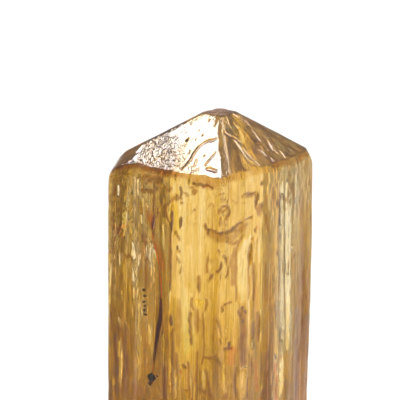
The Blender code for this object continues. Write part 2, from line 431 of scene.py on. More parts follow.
# pale marks: paler, creamier colour along streaks on the sides, most of them painted highlights and
# reflections of the light the streaks mirror; they also make the skin there rougher
PALE_AND_HIGHLIGHT_MARKS = (
    (2, 0.8, (118, 184), (119, 200)), (2, 0.9, (128, 190), (127, 206)),
    (2.4, 0.9, (132.3, 187), (133, 196)), (2.2, 0.8, (139, 179), (140.5, 201)),
    (2, 0.8, (142, 215), (142, 246)), (2.4, 0.8, (121, 253), (121, 268)),
    (6, 0.8, (138.5, 243), (136.5, 262), (134.5, 275), (136, 286)), (5, 0.6, (148, 244), (148, 256)),
    (2.4, 0.9, (153, 243), (152, 263), (151, 272)), (2.6, 0.7, (175, 181), (174, 194)),
    (4, 0.8, (188.5, 186), (190, 196)), (3, 0.6, (169, 212.8), (172, 212.8)),
    (1.8, 0.6, (158, 226), (159, 246)), (1.8, 0.6, (163, 224), (163.5, 252)),
    (3, 0.5, (166, 245), (167, 275)),
    (4, 0.7, (138, 288), (137, 300), (138, 312), (137.3, 325), (139, 336)),
    (2.2, 0.8, (119, 317), (120, 326)), (3, 0.9, (120.5, 341), (121, 360), (120, 386)),
    (2.4, 0.5, (127, 322), (127.5, 350)), (2.2, 0.8, (140, 346), (140, 372)),
    (2.4, 0.8, (151, 322), (152, 356)), (2, 0.5, (147, 316), (147, 350)),
    (1.6, 0.7, (155, 387), (158, 392), (162, 399)), (2, 0.7, (169, 283), (169, 300)),
    (7, 0.6, (186, 290), (187, 320), (187, 352)), (2, 0.6, (194, 320), (194, 350)),
    (2.4, 0.6, (169.5, 360), (170, 395)), (2, 0.6, (175, 370), (175.5, 398)),
    # the four strongest pale marks, 196 to 204 across and 299 to 307 down, paint a glint: a small bright
    # sparkle of mirrored lamp light
    (3, 0.6, (191.5, 366), (193, 398)), (2.6, 1.2, (196.5, 303), (198, 304)),
    (2.6, 1.2, (200.5, 301.5), (202, 303)), (2.2, 1.2, (199, 306), (200, 307)),
    (1.8, 1.1, (203, 299), (204, 300)), (3, 0.9, (138.5, 305), (138, 330), (139, 345)),
    (8, 0.5, (145, 350), (145.5, 362)), (2, 0.7, (262.5, 199), (258, 205)),
    (2.4, 0.9, (270, 217), (270.5, 221)), (2.2, 0.9, (280, 194.5), (283, 196.5)),
    (2.4, 0.9, (289.5, 249), (291, 249)), (6, 0.35, (227, 245), (227, 255)),
    (9, 0.8, (245, 242), (242.5, 256), (242, 275), (242, 300)),
    (3, 0.8, (251, 236), (249.5, 246), (248, 262)), (2.4, 0.5, (251, 266), (251, 300)),
    (3, 0.5, (260, 232), (259.5, 262)), (1.8, 0.7, (261.5, 285), (262, 350)),
    (1.8, 0.7, (270, 200), (270, 240), (269.5, 262)),
    # the broad pale mark and the two beside it, 280 to 290 across, paint a bright cream band on the right
    # side: a painted reflection, laid over the open cracks there that mirror real light
    (12, 0.55, (284, 182), (284.5, 215), (284.5, 262), (284, 300), (283, 352)),
    (3, 0.8, (281, 188), (280.5, 240)), (3, 0.7, (288.5, 190), (289.5, 240)),
    (3, 0.9, (240, 367.5), (246, 368)), (10, 0.5, (241, 374), (242, 398)),
    (2.4, 0.6, (249.3, 286), (249.5, 337)), (5, 0.45, (249, 338), (252, 355)),
    (2, 0.7, (272.5, 355), (275, 360)), (8, 0.7, (281, 363), (280.5, 398)),
    (2.4, 0.9, (272, 392), (274, 392)), (2, 0.9, (289, 324), (289, 353)),
    (2, 0.7, (261, 380), (262, 388)), (3, 0.6, (223.5, 367), (225, 395)),
    (3, 0.6, (203, 372), (204, 386)),
)
DEEP_MARKS = (
    (8, 0.4, (123, 240), (128, 250), (124, 262)), (8, 0.5, (158, 310), (160, 345), (162, 400)),
    # the deep mark from 196 to 203 across, about 302 down, deepens the gold round the painted glint
    (5, 0.5, (174, 300), (173, 330)), (5, 0.6, (196, 303), (203, 301)),
    (9, 1, (163, 322), (164, 360), (163, 399)), (8, 0.45, (286, 253), (292, 256), (288, 263)),
    (4, 0.3, (255, 262), (255, 320)), (8, 0.35, (297, 265), (297, 300), (296, 340)),
    (9, 1, (219, 361), (220.5, 370), (221.5, 379)),
)
HONEY_MARKS = (
    # the first two honey marks colour the painted glint a saturated yellow
    (6, 1.2, (196, 303), (203, 301)), (4, 1, (198, 307), (201, 306)),
    (9, 1, (219, 361), (220.5, 370), (221.5, 379)), (12, 0.8, (228, 352), (230, 372), (232, 390)),
    (12, 0.9, (174, 208), (174, 222), (176, 232)), (7, 0.9, (150, 216), (151, 226), (153, 236)),
    (8, 0.8, (116, 342), (118, 352), (118, 372)), (10, 0.8, (123, 262), (125, 290), (125, 320)),
)
# each open crack: its upper and lower end, where it starts and stops below the skin in millimetres, its
# lean in degrees, and sometimes how uneven it is
OPEN_CRACKS = (
    ((135.5, 243), (136.5, 264), 0.15, 1.65, 0), ((134.2, 268), (136.5, 287), 0.2, 1.40, 4),
    ((137.6, 288), (137.4, 303), 0.15, 1.12, 0), ((138, 305), (137.4, 322), 0.2, 1.25, -4),
    ((153, 243), (151.2, 271), 0.15, 0.97, 3), ((147.5, 243), (147.5, 252), 0.1, 0.78, 6),
    ((127.8, 189), (126.8, 206), 0.15, 0.82, 0), ((132.6, 187), (133.2, 195), 0.1, 0.62, 0),
    ((118.6, 184), (119.2, 199), 0.12, 0.61, 0), ((139.2, 178), (140.6, 200), 0.15, 0.75, 0),
    ((136.5, 203), (130, 220.5), 0.12, 0.61, 0), ((134.5, 215), (128.5, 221), 0.1, 0.55, 0),
    ((141.4, 214), (143, 227), 0.1, 0.55, 0), ((124.5, 231), (120, 238), 0.1, 0.47, 0),
    ((121, 253), (121.2, 268), 0.12, 0.69, 0), ((162.5, 214.5), (154.8, 220.5), 0.1, 0.70, 0),
    ((120.2, 341), (121, 362), 0.15, 1.05, 0), ((120.9, 363), (120.2, 386), 0.15, 0.75, 0),
    ((119.4, 317), (119.8, 326), 0.1, 0.55, 0), ((140, 352), (140.2, 372), 0.15, 0.82, 0),
    ((151.4, 325), (152.2, 355), 0.15, 0.82, 0), ((155, 387), (161, 399), 0.1, 0.55, 0),
    ((127.5, 322), (127.5, 345), 0.3, 1.05, 5), ((112, 262), (111.5, 330), 0.2, 0.80, 3),
    ((277.6, 182), (277.6, 290), 0.06, 1.90, 0, 0.2), ((283.6, 182), (283.8, 280), 0.06, 1.90, 1, 0.3),
    ((277.6, 262), (277.9, 352), 0.06, 1.90, 0, 0.3), ((283.8, 262), (284.2, 356), 0.06, 1.80, 1, 0.4),
    ((278.5, 330), (278, 399), 0.10, 1.70, 0, 0.4), ((294.2, 198), (297, 206.5), 0.1, 0.70, 0),
    ((279.8, 194), (283.2, 197), 0.1, 0.55, 0), ((270, 216), (270.5, 222), 0.1, 0.70, 0),
    ((290, 247.5), (290.6, 250.5), 0.1, 0.70, 0), ((272.6, 354), (275, 360.5), 0.1, 0.55, 0),
    ((249.5, 340), (250.5, 352), 0.2, 1.10, 0), ((240.5, 366.8), (246, 368), 0.05, 0.50, 0),
)
ROOF_CRACKS = (
    (3, 0.9, (216.5, 137), (211, 139.5), (207, 140), (203, 142), (198, 147), (193.5, 153), (189, 161),
        (181, 170)),
    (2.2, 0.8, (215.5, 151), (211, 156), (205.5, 163)),
    (3.2, 1, (206.5, 166), (211, 167.5), (216.5, 168.5)),
    (2.4, 0.9, (198, 167.5), (194, 169), (190, 173)), (2, 0.7, (196, 158), (196, 163), (193, 167)),
    (2, 0.6, (166, 154), (161, 159), (160, 165)), (2.4, 0.7, (148, 160), (152, 165), (158, 171)),
    (2, 0.7, (130, 160), (134, 163)), (3, 1, (223.5, 132.5), (228, 135), (234, 138), (239, 141)),
    (2, 0.5, (234, 141), (241, 150), (246, 158), (252, 165)),
    (2, 0.6, (243, 149), (251, 158), (262, 168)), (2.2, 0.8, (259, 150), (265, 155), (273, 161)),
    (2, 0.8, (268, 143), (272, 150), (276, 153)), (2.4, 0.9, (272, 162), (278, 167)),
    (2, 0.6, (280, 152), (284, 158), (289, 161)), (1.8, 0.7, (263, 168), (268, 174)),
)
ROOF_BROWN = (
    (3.4, 0.9, (246, 172.5), (247, 174.5)), (9, 0.45, (286, 154), (292, 158), (298, 156)),
    (5, 0.4, (242, 119), (258, 126), (274, 136), (290, 146), (300, 153)),
)
# pale marks on the roof, mostly painted highlights: white-yellow glints along the scratches of the right
# front face, with a few pale patches
ROOF_PALE_AND_HIGHLIGHTS = (
    (3, 0.9, (224, 128), (230, 126.5), (238, 126)),
    (3, 0.8, (240, 131), (243, 137), (240, 147), (246, 156), (256, 165)),
    (2.2, 0.9, (276, 155), (280, 160), (285, 166)), (2.2, 0.9, (261, 147), (264, 151)),
    (2.2, 0.9, (272, 146), (277, 148)), (5, 0.7, (281, 143), (284, 150), (288, 155)),
)
# each pit: its place and reach
ROOF_PITS = (
    (187.5, 139, 2.1), (209.5, 120, 1.8), (202.5, 134.5, 1.5), (190, 151.5, 1.6), (204.8, 154.3, 1.2),
    (175, 136, 1.4), (166, 139.5, 1.4), (191, 123.5, 1.3), (197, 118.5, 1.4), (179.5, 164, 1.3),
    (178, 170, 1.4), (152, 147, 1.3), (159.5, 145, 1.2), (170, 147, 1.3), (185.5, 132, 1.1),
    (199.5, 129, 1), (196, 139, 1), (202, 170, 1.1), (175, 158, 1.2), (162, 152, 1.2), (156, 158, 1.2),
)

# how far the skin is raised, and how strong each of its colours is
lift, stain_and_shade, rust, pale_and_highlight, deep, honey = np.zeros((6, *X.shape))

draw(stain_and_shade, BROWN_MARKS, SIDES)
draw(rust, RUST_MARKS, SIDES)
draw(pale_and_highlight, PALE_AND_HIGHLIGHT_MARKS, SIDES)
draw(deep, DEEP_MARKS, SIDES)
draw(honey, HONEY_MARKS, SIDES)
lift -= stain_and_shade * 0.05 * on_front

# growth steps on the sides; a few deep ones face forward: width, height, and left edge from the bottom up
FRONT_STEPS = (
    (0.30, 0.20, (-4.37, 14.2), (-4.42, 15.0), (-4.48, 15.8), (-4.43, 17.1),
        (-4.57, 18.0), (-4.67, 18.8), (-4.53, 19.5), (-4.40, 20.9)),
    (0.22, 0.14, (-5.52, 11.0), (-5.50, 12.5), (-5.48, 14.6)),
    (0.22, 0.12, (-3.66, 17.8), (-3.64, 19.0), (-3.60, 20.6)),
)
fluted = 1 + 0.7 * held((np.abs(ring[:, 0] - 0.25) - 2.9) / 0.5)
fluted *= np.interp(ring[:, 0], (3.8, 4.0, 4.8, 5.0), (1, 0.35, 0.35, 1))
steps = needles(3, 90, (0.6, 2.4), (10, 60)) * 0.035
steps += needles(5, 160, (0.25, 0.6), (6, 40)) * 0.035 * fluted
steps += needles(4, 300, (0.14, 0.25), (3, 25)) * 0.05 * fluted
for width, height, *edge in FRONT_STEPS:
    edge_x, edge_z = np.array(edge).T
    start = np.interp(np.interp(side_height, edge_z, edge_x), front_x, front_arc)
    across = (arc - start) / width
    tread = np.minimum(across / 0.15, 1 - across)
    ends = held((side_height - edge_z[0]) / 0.8) * held((edge_z[-1] - side_height) / 0.8)
    steps += held(tread) * height * ends
steps -= steps.mean()
settle = held((top - side_height) / 0.6) * held(side_height / 0.4)
lift[: len(side_rows)] += steps * settle

# etch pits on the sides, long in the prism's direction, thickest under the rim
rough_area = 0.25 + 0.75 * bell((24.5 - Z) / 3.2) + clouds(20, 1.3, 3.0) * 1.2
rough_area = held(rough_area - 0.7)
hollow, hollow_name = grains(23, U, climb, 0.30, 0.75)
lift -= held(1 - hollow * 1.4) * 0.05 * rough_area * (hollow_name > 0.4) * on_side
waves = clouds(21, 0.9, 1.6) + 0.5 * clouds(22, 0.35, 0.6) - 0.75
lift += waves * (0.010 + 0.035 * rough_area * on_side + 0.014 * on_roof)

# the roof: rice-grain etching low on its left front face, slanted scratches on the right one, cracks, pits
left_face = on_roof & (X < AXIS[0]) & (Y < 0.2)
right_face = on_roof & (X >= AXIS[0]) & (Y < 0.2)
rice, rice_name = grains(31, X * 0.87 + Y * 0.5, Y * 0.87 - X * 0.5, 0.15, 0.30)
corner = held((0.57 * Y - 3.96 - X) / 0.15 + 0.5) * on_roof * (Y < 0.4)
coarse = np.clip((-X - 0.35 * Y - 1.4) / 1.6, 0.10, 1) * left_face * (1 - corner)
lift -= held(1 - rice) * 0.014 * (0.3 + rice_name) * coarse
overlay(stain_and_shade, np.clip(rice - 0.55, 0, 0.35) * coarse)
overlay(stain_and_shade, 0.34 * corner)
overlay(rust, 0.15 * corner)
slanted = X * 0.8 + Y * 0.6, Y * 0.8 - X * 0.6
scratch = mottle(33, *slanted, 0.16, 1.1)
scratched = right_face * np.clip((X - 1.4) / 2, 0.2, 1) * np.clip((5.0 - X) / 0.8, 0.15, 1)
lift += (scratch - 0.5) * 0.025 * scratched
lift += (mottle(34, X, Y, 0.5, 0.7) - 0.5) * 0.03 * right_face
# each cut is also darkened brown along its length: painted shade in the crack
for width, strength, *path in ROOF_CRACKS:
    cut = mark(width, 0.85, path, ROOF)
    lift -= cut * round(width * MARK_UNIT, 2) * 0.22
    overlay(stain_and_shade, cut * strength * 0.75)
draw(stain_and_shade, ROOF_BROWN, ROOF)
draw(pale_and_highlight, ROOF_PALE_AND_HIGHLIGHTS, ROOF)
for across, down, reach in ROOF_PITS:
    (x, y, _), size = seen_at(across, down), round(reach * PIT_UNIT, 2)
    gap = np.hypot(X - x, (Y - y) * 0.7) / size / 0.75
    lift -= held(1 - gap**2) * size * 0.4 * on_roof
    # each pit is darkened brown, a little past its edge: painted shade in the hollow
    overlay(stain_and_shade, held(1.3 - gap) * 0.8 * on_roof)

# brown wash on the worn rim, over the ridges and the point
band = held(1.5 - np.abs(past_rim + 0.16) / 0.24)
band *= 0.40 + 0.28 * clouds(41, 0.8, 1.2)
band *= np.interp(X, (-2.6, -1.5, 0.5, 3.2, 4.0), (1, 0.8, 0.6, 0.3, 0.8))
cap_wash = bell(np.hypot(X - AXIS[0] - 0.25, Y - 0.25) / 0.75) * on_roof * 0.5
patchy = mottle(36, *slanted, 0.24, 0.55)
patches = np.clip(patchy * 1.8 - 1.0, 0, 0.42) * right_face * np.clip((X - 1.6) / 0.8, 0.2, 1)
overlay(stain_and_shade, patches)
overlay(pale_and_highlight, held(0.7 - patchy * 2.0) * right_face * held((X - 2.4) / 0.8))
behind = on_roof * held((Y + 0.12) / 0.25) * 0.45
overlay(rust, band * 0.6)
overlay(stain_and_shade, band, cap_wash, behind)

# colour: pale or deep stripes along the prism, and how much deeper each gets towards the base
# the near-zero depth from 4.0 to 4.9 mm paints the bright cream band on the right front: a painted
# reflection; GOLD_BELOW keeps it paler towards the base
GOLD_ACROSS = (
    (-6.8, 0.42), (-6.2, 0.40), (-5.9, 0.62), (-5.2, 0.85), (-4.95, 0.78), (-4.7, 0.36), (-4.45, 0.30),
    (-4.1, 0.28), (-3.7, 0.32), (-3.4, 0.62), (-3.0, 0.84), (-2.7, 1.05), (-2.45, 1.05), (-2.2, 0.72),
    (-1.9, 0.42), (-1.3, 0.15), (-1.0, 0.30), (-0.5, 0.55), (0.3, 0.66), (1.0, 0.92), (1.4, 1.02),
    (1.8, 0.98), (2.4, 0.86), (3.0, 0.60), (3.6, 0.60), (3.75, 0.40), (4.0, 0.05), (4.9, 0.05),
    (5.1, 0.42), (5.4, 0.85), (5.7, 0.80),
)
GOLD_BELOW = (
    (-2.6, 1), (-2.2, 0.68), (2.6, 0.68), (3.0, 1.4), (3.6, 1.4), (4.1, 0.3), (4.9, 0.3), (5.2, 1.3)
)
across_front = np.interp(X, *np.transpose(GOLD_ACROSS))
back_edge = held((np.abs(X) - 4.0) / 0.6) * (Y > 0.35)
bands = np.where(Y < 0.35, across_front, 0.42) - 0.40 * back_edge
fine = clouds(43, 0.17, 7.0) * 0.50 + clouds(44, 0.50, 12.0) * 0.65
fine += clouds(45, 1.2, 5.0) * 0.35 - 0.75
lower = np.clip((19.5 - Z) / 8.5, 0, 1.4)
outer = held((np.abs(X - 0.25) - 2.7) / 0.3)
shade_depth = bands + fine * (1.15 + 0.75 * outer) + 0.35 * held((15.4 - Z) / 2.5)
shade_depth += 0.60 * lower * np.interp(X, *np.transpose(GOLD_BELOW)) * (1 - 0.7 * back_edge)
# the 0.12 on the right front roof face paints it a deeper gold: painted shade that darkens that face against
# the lamps
shade_depth += 0.60 * deep + 0.12 * right_face
lively = 1 - 0.8 * bell((X + 1.3) / 0.9) * held((Z - 15.5) / 2) * (Y < 0)
lively *= 0.45 + 0.55 * np.maximum(outer, held((17.5 - Z) / 3))
streak = np.zeros(X.shape)
streak[: len(side_rows)] = needles(72, 300, (0.10, 0.34), (0.5, 7)) * 5
overlay(stain_and_shade, np.clip(streak - 0.25, 0, 0.75) * lively)
streak[: len(side_rows)] = needles(73, 260, (0.10, 0.28), (0.5, 6)) * 6
overlay(pale_and_highlight, np.clip(streak - 0.25, 0, 0.9) * lively)
# the lower part and the back carry the same kinds of marks: brown films, pale streaks and small hollows
plain = np.where(Y < 0.35, held((12.0 - Z) / 1.5), np.clip((13.0 - Z) / 3, 0.25, 1))
plain = on_side * plain * np.clip(Z / 1.5, 0.3, 1)
film = mottle(61, U + waver[0] * 2, climb, 0.45, 1.6, girth)
film += 0.6 * clouds(62, 0.16, 0.5) - 0.8
overlay(stain_and_shade, np.clip(film * 2.2 - 0.45, 0, 0.55) * plain)
overlay(pale_and_highlight, np.clip(-film * 2.4 - 0.55, 0, 0.6) * plain)
film = held(mottle(63, U + waver[0] * 3, climb, 0.30, 0.9, girth) * 3 - 2.1) * plain
lift -= film * 0.05
overlay(rust, film * 0.3)
overlay(stain_and_shade, film * 0.5)
speck = held(clouds(46, 0.09, 0.35) * 2 - 1.40) * (0.25 + rough_area)
overlay(stain_and_shade, speck * 0.7)
shade_depth += 0.30 * held((16.5 - Z) / 3) * held((-2.2 - X) / 0.5) * (Y < 0.35)
shade_depth += 0.7 * held((12.6 - Z) / 1.6) * (Y < 0.35)
# pale marks pull the depth below zero, where the colour turns to cream: painted highlights
shade_depth = np.clip(shade_depth * (1 - 0.8 * pale_and_highlight) - 0.35 * pale_and_highlight, -0.35, 1.3)
left_honey = 0.75 * bell((X + 3.0) / 0.45) * (0.4 + clouds(53, 0.4, 3.0))
middle_honey = (0.15 + 0.6 * held((20.0 - Z) / 4)) * np.exp(-(((X - 1.3) / 1.2) ** 4))
overlay(honey, left_honey * on_front, middle_honey * on_front)
overlay(honey, np.clip((X - 5.2) / 0.5, 0, 0.95) * on_front)
overlay(honey, band * 0.7, 0.35 * right_face)
overlay(rust, np.clip((X - 5.5) / 0.5, 0, 0.22) * on_front)
frost = held(clouds(51, 0.10, 2.5) * 1.8 - 1.1) + 0.5 * pale_and_highlight
overlay(frost, 0.55 * right_face)

skin += outward * lift[..., None]

rows, columns = skin.shape[:2]
points = [skin.reshape(-1, 3), [[*AXIS, roof_height(*AXIS[:, None])[0] - 0.01], [*AXIS, 0.0]]]
faces = list(walls(rows, columns))
peak = rows * columns
for k in range(columns):
    after = (k + 1) % columns
    faces.append((peak - columns + k, peak - columns + after, peak))
    faces.append((after, k, peak + 1))
grain = held(0.02 + coarse * 0.4 + 0.12 * mottle(35, X, Y, 0.8, 1.0) * right_face) * on_roof
layers = {
    "shade_depth": shade_depth, "stain_and_shade": held(stain_and_shade), "rust": rust, "honey": honey, "frost": frost,
    "grain": grain, "lines": (0.22 + 0.13 * outer) * on_side,
}
layers = {name: [values.ravel(), [0.3, 0.3]] for name, values in layers.items()}


# Open cracks inside it, filled with air. Each is a thin gap that mirrors the light from behind, which draws
# the pale streaks and feathers in the sides; many of these streaks are also painted paler, as painted
# reflections.
# Their walls belong to the same body and face into the gap.
def under_skin(x, z, depth):
    """The place a depth below the front skin that is seen at x and z from the front."""
    y = np.interp(x, front_x, front_y)
    into = np.where(np.asarray(x) < 0.5, 0.267, -0.304)
    return np.stack([x + into * depth, y + 0.94 * depth, z - 0.17 * depth], axis=-1)


def close_gap(middle, bulge):
    """Adds a closed gap's two walls, on either side of a grid of points."""
    m, n = middle.shape[:2]
    rim = np.zeros((m, n), bool)
    rim[[0, -1], :] = rim[:, [0, -1]] = True
    start = sum(len(p) for p in points)
    near_index = np.arange(m * n).reshape(m, n)
    far_index = np.where(rim, near_index, m * n + np.cumsum(~rim).reshape(m, n) - 1)
    points.append((middle - bulge).reshape(-1, 3))
    points.append((middle + bulge)[~rim])
    for i in range(m - 1):
        for j in range(n - 1):
            corners = (i, j), (i, j + 1), (i + 1, j + 1), (i + 1, j)
            faces.append(tuple(start + int(near_index[c]) for c in corners))
            faces.append(tuple(start + int(far_index[c]) for c in corners[::-1]))
    for values in layers.values():
        values.append(np.full(m * n + int((~rim).sum()), 0.3 if values is not layers["frost"] else 0.0))


def add_gap(seed, x0, z0, x1, z1, near, far, lean, uneven=1.0):
    """Adds a closed gap that runs down the skin from (x0, z0) to (x1, z1) and inwards from near to far."""
    length = math.hypot(x1 - x0, z1 - z0)
    m, n = max(7, min(24, round(length / 0.16))), 7
    s, t = np.meshgrid(np.linspace(-1, 1, m), np.linspace(-1, 1, n), indexing="ij")
    turn = math.radians(lean)
    across = np.array([math.sin(turn), math.cos(turn), 0.0])
    along = np.array([x1 - x0, 0.0, z1 - z0]) / length
    normal = np.cross(across, along)
    normal /= np.linalg.norm(normal)
    ragged = 1 + uneven * (0.6 * mottle(seed, s * length / 1.2 + 9, t * 0 + 3, 1, 1) - 0.4)
    edge = np.sqrt(held(1 - np.abs(s) ** 2.5)) * ragged
    wander = (mottle(seed + 1, s * length / 1.5 + 9, t * 0 + 2, 1, 1) - 0.5) * 0.7 * uneven
    wave = (mottle(seed + 2, s * length / 0.6 + 9, t * 1.5 + 9, 1, 1) - 0.5) * 0.05
    wave += (mottle(seed + 3, s * length / 3 + 9, t * 0.5 + 9, 1, 1) - 0.5) * 0.16
    wave *= uneven
    x, z = x0 + (x1 - x0) * (s + 1) / 2, z0 + (z1 - z0) * (s + 1) / 2
    reach = (near + far) / 2 + (t * edge + wander) * (far - near) / 2
    middle = under_skin(x, z, 0.0) + across * reach[..., None]
    middle[..., 1] = np.maximum(middle[..., 1], np.interp(middle[..., 0], front_x, front_y) + 0.06)
    middle += normal * wave[..., None]
    bulge = (GAP_WIDTH / 2 * held(1 - t**2) * held(1 - s**2))[..., None]
    close_gap(middle, normal * bulge)


for order, (upper_end, lower_end, *crack) in enumerate(OPEN_CRACKS):
    (x0, _, z0), (x1, _, z1) = seen_at(*upper_end), seen_at(*lower_end)
    add_gap(100 + order * 5, x0, z0, x1, z1, *crack)
dice = np.random.default_rng(61)
for order in range(SEEDED_CRACKS):
    x = dice.uniform(-6.2, -2.7) if order % 2 else dice.uniform(3.1, 5.2)
    z = dice.uniform(9.5, 23.5) if order < HIGH_CRACKS else dice.uniform(2.5, 9.5)
    length = 0.5 * 9 ** dice.random()
    skew, reach = dice.normal(0, 0.03) * length, dice.uniform(0.25, 0.9)
    start = dice.uniform(0.15, 0.5)
    upper, lower_end = z + length / 2, z - length / 2
    add_gap(400 + order * 5, x, upper, x + skew, lower_end, start, start + reach, dice.uniform(-8, 8))

points = np.concatenate([np.asarray(p, float) for p in points])


def placed(name, data):
    """A new object in the scene."""
    made = bpy.data.objects.new(name, data)
    bpy.context.scene.collection.objects.link(made)
    return made


def body_object(name, where, corners):
    """A smooth-shaded mesh object from points in millimetres."""
    data = bpy.data.meshes.new(name)
    data.from_pydata([tuple(p) for p in np.asarray(where) * MM], [], corners)
    data.shade_smooth()
    return placed(name, data)


crystal = body_object("crystal_skin", points, faces)
for name, values in layers.items():
    layer = crystal.data.attributes.new(name, "FLOAT", "POINT")
    layer.data.foreach_set("value", np.concatenate([np.asarray(v, np.float32) for v in values]))


class Wire:
    """A shader socket that takes arithmetic, each operation adding one Math node."""

    def __init__(self, finish, socket):
        self.finish = finish
        self.socket = socket

    def math(self, operation, *values):
        return self.finish.node("Math", {"operation": operation}, dict(enumerate(values)))

    def __add__(self, other):
        return self.math("ADD", self, other)

    def __sub__(self, other):
        return self.math("SUBTRACT", self, other)

    def __mul__(self, other):
        return self.math("MULTIPLY", self, other)

    def __rsub__(self, other):
        return self.math("SUBTRACT", other, self)

    __radd__ = __add__
    __rmul__ = __mul__


class Nodes:
    """A tree of nodes, and the one way that nodes are added to it."""

    def __init__(self, tree):
        self.tree = tree

    def node(self, kind, settings=None, values=None, out=0):
        made = self.tree.nodes.new("ShaderNode" + kind)
        for key, value in (settings or {}).items():
            setattr(made, key, value)
        for key, value in (values or {}).items():
            self.feed(made.inputs[key], value)
        return Wire(self, made.outputs[out])

    def feed(self, socket, value):
        if isinstance(value, Wire):
            self.tree.links.new(value.socket, socket)
        else:
            socket.default_value = value


class Finish(Nodes):
    """A material."""

    def __init__(self, name):
        self.material = bpy.data.materials.new(name)
        self.material.use_nodes = True
        super().__init__(self.material.node_tree)
        self.shader = self.tree.nodes["Principled BSDF"]

    def set(self, **values):
        for key, value in values.items():
            self.feed(self.shader.inputs[key.replace("_", " ")], value)

    def blend(self, amount, first, second, way="MIX"):
        """Colour between two colours, or the first tinted by the second."""
        settings = {"data_type": "RGBA", "blend_type": way}
        return self.node("Mix", settings, {"Factor": amount, 6: first, 7: second}, out=2)

    def measure(self, name):
        return self.node("Attribute", {"attribute_name": name}, out=2)


CREAM = (1.0, 0.96, 0.80, 1.0)
PALE_GOLD = (0.97, 0.85, 0.54, 1.0)
FULL_GOLD = (0.88, 0.60, 0.16, 1.0)
DEEP_GOLD = (0.60, 0.33, 0.008, 1.0)
BURNT_GOLD = (0.28, 0.145, 0.004, 1.0)
WARM_BROWN = (0.47, 0.28, 0.13, 1.0)
DARK_BROWN = (0.020, 0.006, 0.002, 1.0)
RUST_WASH = (0.60, 0.10, 0.001, 1.0)
HONEY = (1.0, 0.93, 0.10, 1.0)

clear = Finish("golden_topaz")
spot = clear.node("TexCoord", out=3)
thread_spot = clear.node("Mapping", values={"Vector": spot, "Scale": (13000, 13000, 600)})
threads = clear.node("TexNoise", values={"Vector": thread_spot, "Scale": 1.0, "Detail": 2.0})
depth = clear.measure("shade_depth") + (threads - 0.5) * clear.measure("lines") * 6.0
colour = clear.blend(depth.math("MULTIPLY", depth, 2.0), PALE_GOLD, FULL_GOLD)
colour = clear.blend((depth - 0.5) * 2.0, colour, DEEP_GOLD)
colour = clear.blend((depth - 1.0) * 3.0, colour, BURNT_GOLD)
# below zero the depth turns the colour to cream, the colour of the painted highlights and reflections
colour = clear.blend(depth * -3.0, colour, CREAM)
colour = clear.blend(clear.measure("honey"), colour, HONEY, "MULTIPLY")
colour = clear.blend(clear.measure("rust"), colour, RUST_WASH)
# the brown layer holds real iron stains and films, and also the painted shade in the roof's cracks and pits
browned = clear.measure("stain_and_shade")
colour = clear.blend(browned * 2.0, colour, WARM_BROWN, "MULTIPLY")
colour = clear.blend(browned * 2.0 - 1.0, colour, DARK_BROWN)
rice_turn = (0, 0, math.radians(-28))
rice_spot = clear.node(
    "Mapping", values={"Vector": spot, "Rotation": rice_turn, "Scale": (9500, 5000, 5000)}
)
grains_up = clear.node("TexVoronoi", {"feature": "F1"}, {"Vector": rice_spot, "Scale": 1.0})
line_spot = clear.node("Mapping", values={"Vector": spot, "Scale": (9000, 9000, 450)})
lines_up = clear.node("TexNoise", values={"Vector": line_spot, "Scale": 1.0, "Detail": 2.0})
height = grains_up * clear.measure("grain") + lines_up * clear.measure("lines")
rough_skin = clear.node("Bump", values={"Height": height, "Distance": 0.00006, "Strength": 1.0})
roughness = 0.05 + clear.measure("frost") * 0.25
clear.set(Normal=rough_skin, Base_Color=colour, Roughness=roughness, IOR=1.62, Transmission_Weight=1.0)
absorbing = clear.node("VolumeAbsorption", values={"Color": (0.9, 0.7, 0.1, 1.0), "Density": 50.0})
clear.feed(clear.tree.nodes["Material Output"].inputs["Volume"], absorbing)
crystal.data.materials.append(clear.material)
crystal.visible_shadow = False
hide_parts("crystal")
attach(crystal, "root")

# ------------------------------------------------------------
# What grew inside the crystal: an iron-stained healed crack, thin and orange at its top and brown-black
# below, a black mineral grain at its foot, and a chain of dark droplets. All lie just under the left side.


def iron(name, colour, roughness=0.55):
    made = Finish(name)
    made.set(Base_Color=colour, Roughness=roughness)
    return made.material


def inner_object(name, where, corners, material):
    made = body_object(name, where, corners)
    made.data.materials.append(material)
    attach(made, "root")
    return made


def ribbon(name, path, depth, thick, material):
    """A closed, pointed blade along a path of (x, z, width), at a depth under the front skin."""
    path = np.array(path, float)
    passed = np.concatenate([[0], np.cumsum(np.hypot(*np.diff(path[:, :2], axis=0).T))])
    fine = np.linspace(0, passed[-1], 60)
    x, z, width = (np.interp(fine, passed, path[:, k]) for k in range(3))
    x += (mottle(71, fine, fine * 0, 0.5, 1) - 0.5) * 0.05
    centre = under_skin(x, z, depth)
    turns = np.linspace(0, 2 * np.pi, 9)[:-1]
    where = []
    for k in range(len(fine)):
        taper = math.sqrt(max(0.02, 1 - (2 * k / (len(fine) - 1) - 1) ** 8))
        for angle in turns:
            side, depth_in = math.cos(angle) * width[k] / 2 * taper, math.sin(angle) * thick * taper
            where.append(centre[k] + np.array([side, depth_in, 0]))
    n = len(turns)
    corners = [(a, d, c, b) for a, b, c, d in walls(len(fine), n)]
    corners.append(tuple(range(n)))
    corners.append(tuple(range((len(fine) - 1) * n, len(fine) * n))[::-1])
    return inner_object(name, where, corners, material)


